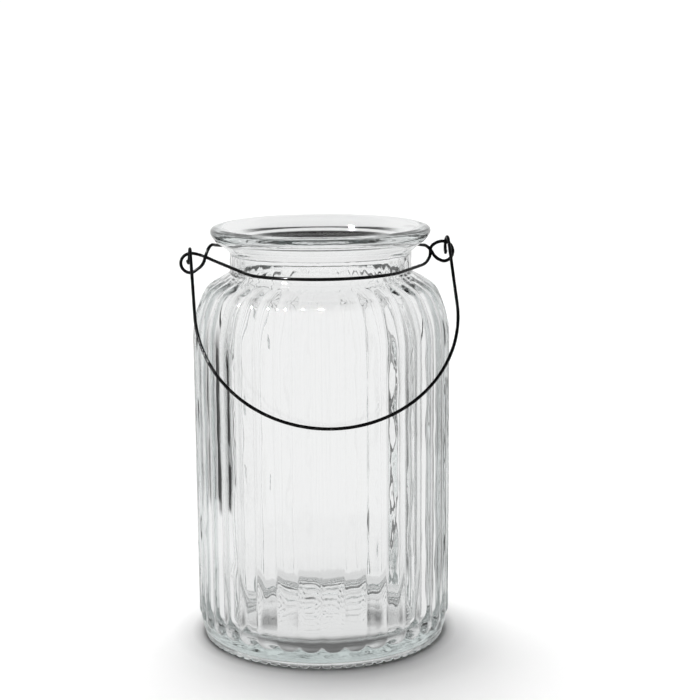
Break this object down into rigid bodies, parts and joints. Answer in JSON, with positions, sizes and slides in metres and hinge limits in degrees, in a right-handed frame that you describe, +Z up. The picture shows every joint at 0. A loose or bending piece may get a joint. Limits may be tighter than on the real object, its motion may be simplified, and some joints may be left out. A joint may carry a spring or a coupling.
{
  "type": "glass jar lantern with wire bail",
  "caption": "Ribbed clear glass jar lantern with a wire collar round its neck and a loose swinging wire bail.",
  "frame": {"origin": "centre of the foot's resting plane, on the jar's axis", "axes": "+Z up along the jar's axis, -Y towards the front where the bail hangs, X along the line between the collar's two eyes"},
  "size_m": [0.1284, 0.1218, 0.1954],
  "materials": {
    "glass": "clear, fire-polished",
    "iron_wire": "dark annealed, satin"
  },
  "bodies": {
    "jar": {"glass_jar": "glass"},
    "collar": {"neck_wire": "iron_wire"},
    "bail": {"bail_handle": "iron_wire"}
  },
  "joints": [
    {"name": "collar_turn", "type": "hinge", "parent": "jar", "child": "collar", "pos_m": [0, 0, 0.176], "axis": [0, 0, 1], "continuous": true},
    {"name": "bail_swing", "type": "hinge", "parent": "collar", "child": "bail", "pos_m": [-0.0602, 0.00035, 0.183], "axis": [-0.9996, 0, -0.0267], "range_deg": [0, 279]}
  ]
}
